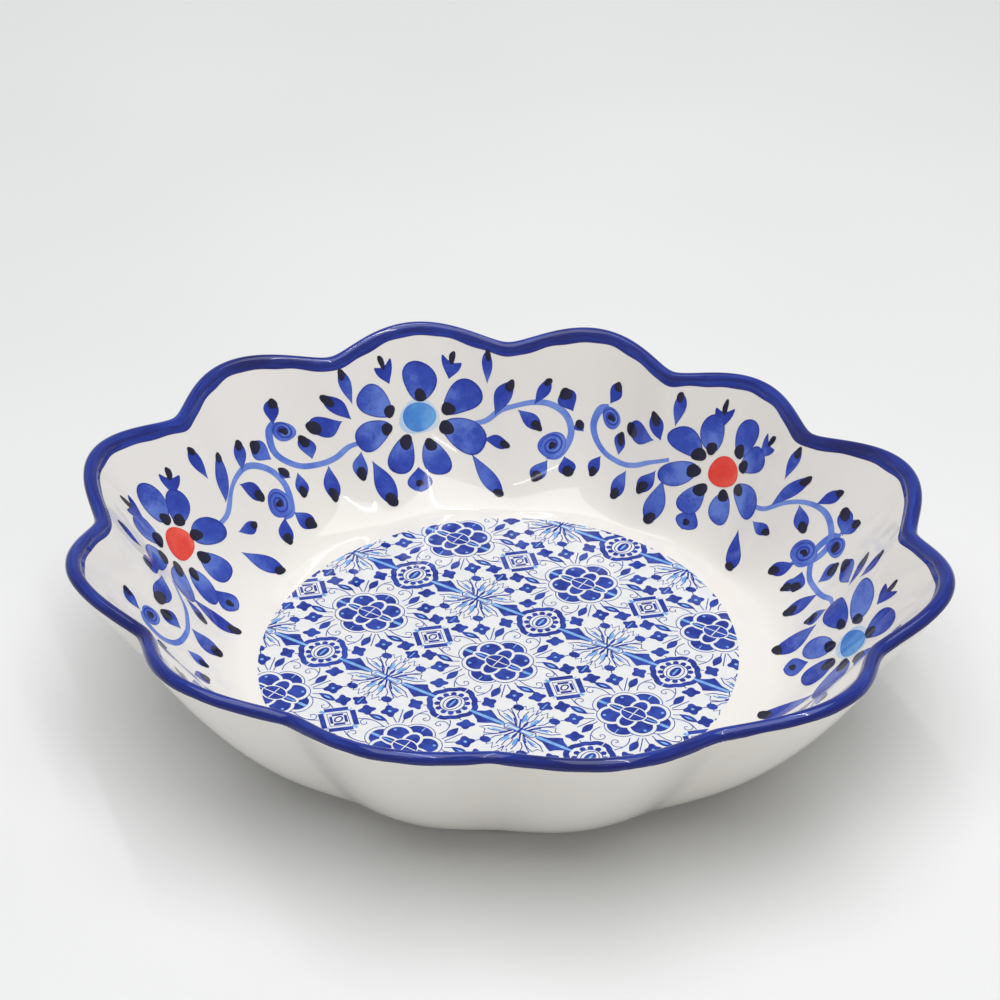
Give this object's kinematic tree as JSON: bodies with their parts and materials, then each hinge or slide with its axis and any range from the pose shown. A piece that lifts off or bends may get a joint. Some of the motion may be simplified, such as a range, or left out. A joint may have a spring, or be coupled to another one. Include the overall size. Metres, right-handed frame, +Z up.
{
  "type": "serving bowl",
  "caption": "Oval porcelain serving bowl with a lobed wavy rim, a cobalt rim band, a round printed floor and a foot ring.",
  "frame": {"origin": "centre of the footprint, on the plane the foot ring stands on", "axes": "+Z up out of the bowl's mouth, +X along the long axis of the oval rim"},
  "size_m": [0.26, 0.2235, 0.0587],
  "materials": {
    "white_glaze": "glossy clear glaze on warm white porcelain",
    "bare_foot": "unglazed fired clay, ground smooth",
    "cobalt_glaze": "glossy brushed cobalt under clear glaze",
    "printed_enamel": "glossy blue and white decoration under clear glaze"
  },
  "bodies": {
    "root": {"bowl_body": "white_glaze", "foot_ring": "bare_foot", "rim_band": "cobalt_glaze", "floor_print": "printed_enamel"}
  },
  "joints": []
}
